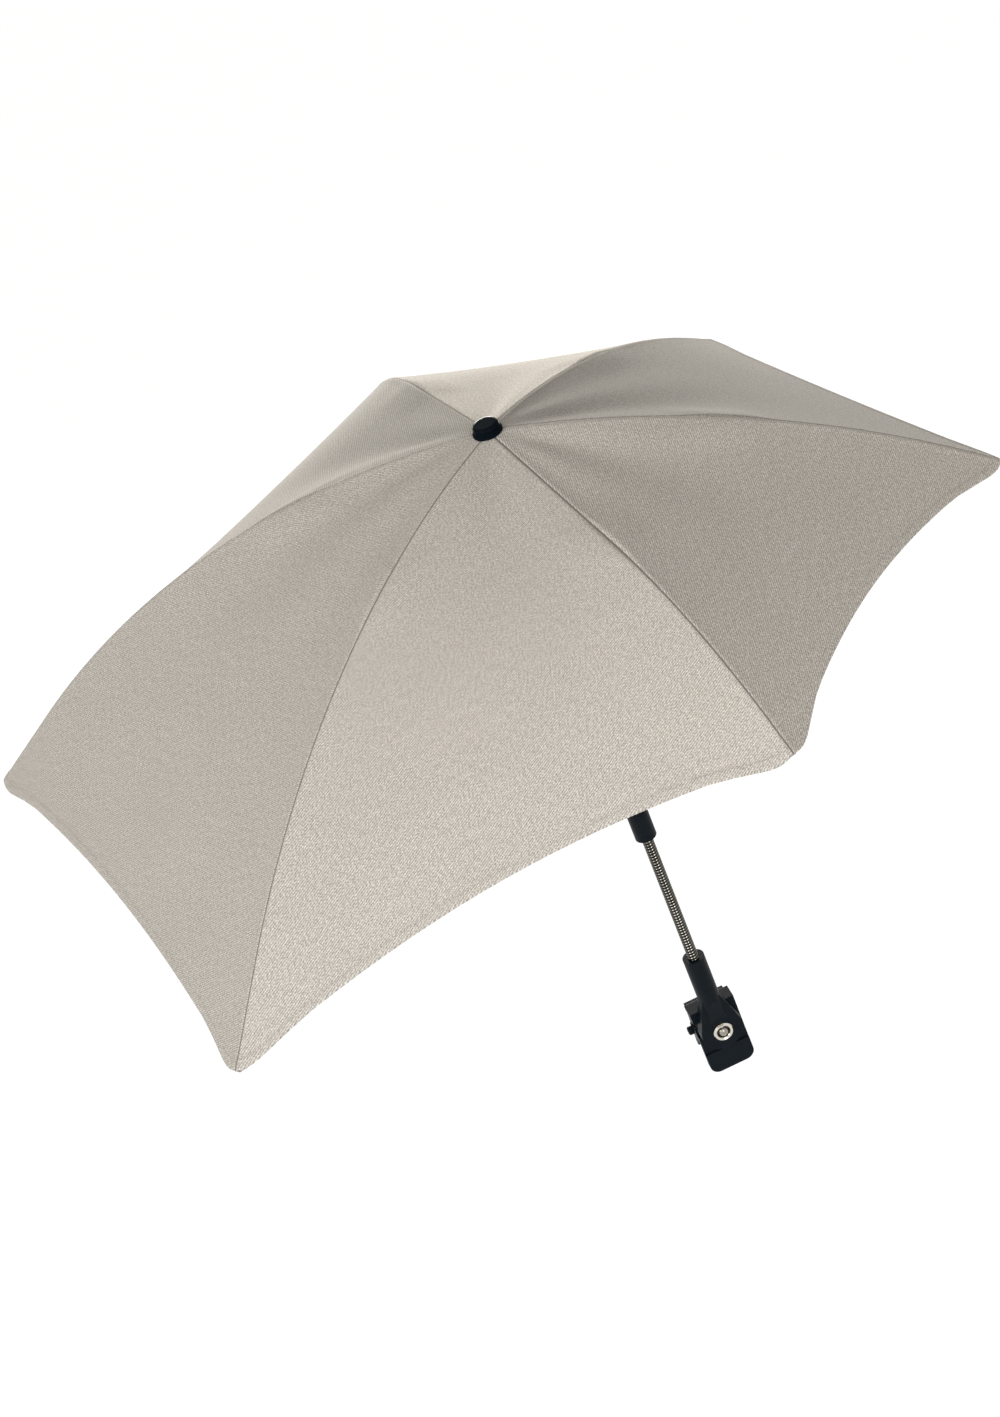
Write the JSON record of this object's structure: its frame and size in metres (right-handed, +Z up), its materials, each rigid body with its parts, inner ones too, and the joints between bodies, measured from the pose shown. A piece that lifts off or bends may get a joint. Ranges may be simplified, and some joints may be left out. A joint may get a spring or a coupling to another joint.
{
  "type": "pram parasol",
  "caption": "Folding pram parasol with a six-panel greige twill canopy, two long front ribs, ribbed flexible neck and a sprung tube clamp.",
  "frame": {"origin": "middle of the tube that the clamp grips", "axes": "+X along the gripped tube, +Z up the pole, the swivel rivet faces -Y"},
  "size_m": [0.7362, 0.6695, 0.6389],
  "materials": {
    "fabric": "matte twill",
    "black_plastic": "satin",
    "pad_rubber": "matte",
    "neck_steel": "ribbed",
    "nickel": "polished",
    "rib_steel": "satin",
    "pole_black": "satin"
  },
  "bodies": {
    "clamp": {"clamp_front_jaw": "black_plastic", "front_jaw_pad": "pad_rubber", "clamp_hinge_pin": "black_plastic", "clamp_spring": "rib_steel", "pivot_rivet": "nickel", "pivot_nut": "nickel"},
    "rear_jaw": {"clamp_rear_jaw": "black_plastic", "rear_jaw_pad": "pad_rubber"},
    "arm": {"swivel_arm": "black_plastic", "gooseneck_lower": "neck_steel"},
    "neck": {"gooseneck_mid": "neck_steel"},
    "ferrule": {"gooseneck_upper": "neck_steel", "gooseneck_ferrule": "black_plastic"},
    "pole": {"pole_tube": "pole_black", "crown": "black_plastic", "crown_ring": "rib_steel", "canopy_rosette": "black_plastic", "finial_cap": "black_plastic", "runner_stop": "rib_steel"},
    "runner": {"runner": "black_plastic", "runner_ring": "rib_steel"},
    "rib_front_left": {"rib_front_left": "rib_steel", "rib_tip_front_left": "black_plastic", "rib_clip_front_left": "black_plastic", "rib_pin_front_left": "rib_steel", "canopy_front_left": "fabric"},
    "stretcher_front_left": {"stretcher_front_left": "rib_steel"},
    "rib_front_right": {"rib_front_right": "rib_steel", "rib_tip_front_right": "black_plastic", "rib_clip_front_right": "black_plastic", "rib_pin_front_right": "rib_steel", "canopy_front_right": "fabric"},
    "stretcher_front_right": {"stretcher_front_right": "rib_steel"},
    "rib_side_left": {"rib_side_left": "rib_steel", "rib_tip_side_left": "black_plastic", "rib_clip_side_left": "black_plastic", "rib_pin_side_left": "rib_steel", "canopy_side_left": "fabric"},
    "stretcher_side_left": {"stretcher_side_left": "rib_steel"},
    "rib_side_right": {"rib_side_right": "rib_steel", "rib_tip_side_right": "black_plastic", "rib_clip_side_right": "black_plastic", "rib_pin_side_right": "rib_steel", "canopy_side_right": "fabric"},
    "stretcher_side_right": {"stretcher_side_right": "rib_steel"},
    "rib_rear_left": {"rib_rear_left": "rib_steel", "rib_tip_rear_left": "black_plastic", "rib_clip_rear_left": "black_plastic", "rib_pin_rear_left": "rib_steel", "canopy_rear_left": "fabric"},
    "stretcher_rear_left": {"stretcher_rear_left": "rib_steel"},
    "rib_rear_right": {"rib_rear_right": "rib_steel", "rib_tip_rear_right": "black_plastic", "rib_clip_rear_right": "black_plastic", "rib_pin_rear_right": "rib_steel", "canopy_rear_right": "fabric"},
    "stretcher_rear_right": {"stretcher_rear_right": "rib_steel"}
  },
  "joints": [
    {"name": "jaw_hinge", "type": "hinge", "parent": "clamp", "child": "rear_jaw", "pos_m": [0, 0.0045, -0.0155], "axis": [-1, 0, 0], "range_deg": [0, 28], "stiffness_Nm_per_rad": 0.4, "springref_deg": -40.11, "deforming": ["clamp_spring"]},
    {"name": "arm_swivel", "type": "hinge", "parent": "clamp", "child": "arm", "pos_m": [0, -0.0195, -0.005], "axis": [0, -1, 0], "range_deg": [-90, 90]},
    {"name": "neck_nod", "type": "hinge", "parent": "arm", "child": "neck", "pos_m": [0, -0.0195, 0.104], "axis": [1, 0, 0], "range_deg": [-45, 45], "deforming": ["gooseneck_lower", "gooseneck_mid"]},
    {"name": "neck_lean", "type": "hinge", "parent": "neck", "child": "ferrule", "pos_m": [0, -0.0195, 0.167], "axis": [0, 1, 0], "range_deg": [-45, 45], "deforming": ["gooseneck_upper"]},
    {"name": "pole_turn", "type": "hinge", "parent": "ferrule", "child": "pole", "pos_m": [0, -0.0195, 0.22], "axis": [0, 0, 1], "range_deg": [-180, 180]},
    {"name": "runner_slide", "type": "slide", "parent": "pole", "child": "runner", "axis": [0, 0, -1], "range_m": [0, 0.19702]},
    {"name": "fold_front_left", "type": "hinge", "parent": "pole", "child": "rib_front_left", "pos_m": [-0.00919, -0.02721, 0.5755], "axis": [0.6428, -0.766, 0], "range_deg": [0, 62.02], "deforming": ["canopy_front_left"]},
    {"name": "strut_front_left", "type": "hinge", "parent": "rib_front_left", "child": "stretcher_front_left", "pos_m": [-0.12177, -0.12168, 0.55091], "axis": [0.6428, -0.766, 0], "range_deg": [-106.94, 0]},
    {"name": "fold_front_right", "type": "hinge", "parent": "pole", "child": "rib_front_right", "pos_m": [-0.01128, -0.0154, 0.5755], "axis": [-0.342, -0.9397, 0], "range_deg": [0, 62.02], "deforming": ["canopy_front_right"]},
    {"name": "strut_front_right", "type": "hinge", "parent": "rib_front_right", "child": "stretcher_front_right", "pos_m": [-0.14938, 0.03487, 0.55091], "axis": [-0.342, -0.9397, 0], "range_deg": [-106.94, 0]},
    {"name": "fold_side_left", "type": "hinge", "parent": "pole", "child": "rib_side_left", "pos_m": [0.00239, -0.03126, 0.5755], "axis": [0.9799, 0.1994, 0], "range_deg": [0, 60.98], "deforming": ["canopy_side_left"]},
    {"name": "strut_side_left", "type": "hinge", "parent": "rib_side_left", "child": "stretcher_side_left", "pos_m": [0.03176, -0.1756, 0.5466], "axis": [0.9799, 0.1994, 0], "range_deg": [-107.47, 0]},
    {"name": "fold_side_right", "type": "hinge", "parent": "pole", "child": "rib_side_right", "pos_m": [-0.00136, -0.00758, 0.5755], "axis": [-0.9936, -0.1132, 0], "range_deg": [0, 61.85], "deforming": ["canopy_side_right"]},
    {"name": "strut_side_right", "type": "hinge", "parent": "rib_side_right", "child": "stretcher_side_right", "pos_m": [-0.0178, 0.13674, 0.53766], "axis": [-0.9936, -0.1132, 0], "range_deg": [-114.33, 0]},
    {"name": "fold_rear_left", "type": "hinge", "parent": "pole", "child": "rib_rear_left", "pos_m": [0.01128, -0.0236, 0.5755], "axis": [0.342, 0.9397, 0], "range_deg": [0, 54.12], "deforming": ["canopy_rear_left"]},
    {"name": "strut_rear_left", "type": "hinge", "parent": "rib_rear_left", "child": "stretcher_rear_left", "pos_m": [0.15333, -0.07531, 0.53236], "axis": [0.342, 0.9397, 0], "range_deg": [-102.67, 0]},
    {"name": "fold_rear_right", "type": "hinge", "parent": "pole", "child": "rib_rear_right", "pos_m": [0.00806, -0.01061, 0.5755], "axis": [-0.7408, 0.6717, 0], "range_deg": [0, 54.56], "deforming": ["canopy_rear_right"]},
    {"name": "strut_rear_right", "type": "hinge", "parent": "rib_rear_right", "child": "stretcher_rear_right", "pos_m": [0.10702, 0.09853, 0.52063], "axis": [-0.7408, 0.6717, 0], "range_deg": [-110.59, 0]}
  ],
  "couplings": [
    {"joint": "fold_front_left", "follows": "runner_slide", "rad_per_m": 5.4925},
    {"joint": "strut_front_left", "follows": "runner_slide", "rad_per_m": -9.4719},
    {"joint": "fold_front_right", "follows": "runner_slide", "rad_per_m": 5.4925},
    {"joint": "strut_front_right", "follows": "runner_slide", "rad_per_m": -9.4719},
    {"joint": "fold_side_left", "follows": "runner_slide", "rad_per_m": 5.4004},
    {"joint": "strut_side_left", "follows": "runner_slide", "rad_per_m": -9.5183},
    {"joint": "fold_side_right", "follows": "runner_slide", "rad_per_m": 5.4775},
    {"joint": "strut_side_right", "follows": "runner_slide", "rad_per_m": -10.126},
    {"joint": "fold_rear_left", "follows": "runner_slide", "rad_per_m": 4.7926},
    {"joint": "strut_rear_left", "follows": "runner_slide", "rad_per_m": -9.0939},
    {"joint": "fold_rear_right", "follows": "runner_slide", "rad_per_m": 4.8319},
    {"joint": "strut_rear_right", "follows": "runner_slide", "rad_per_m": -9.7947}
  ]
}
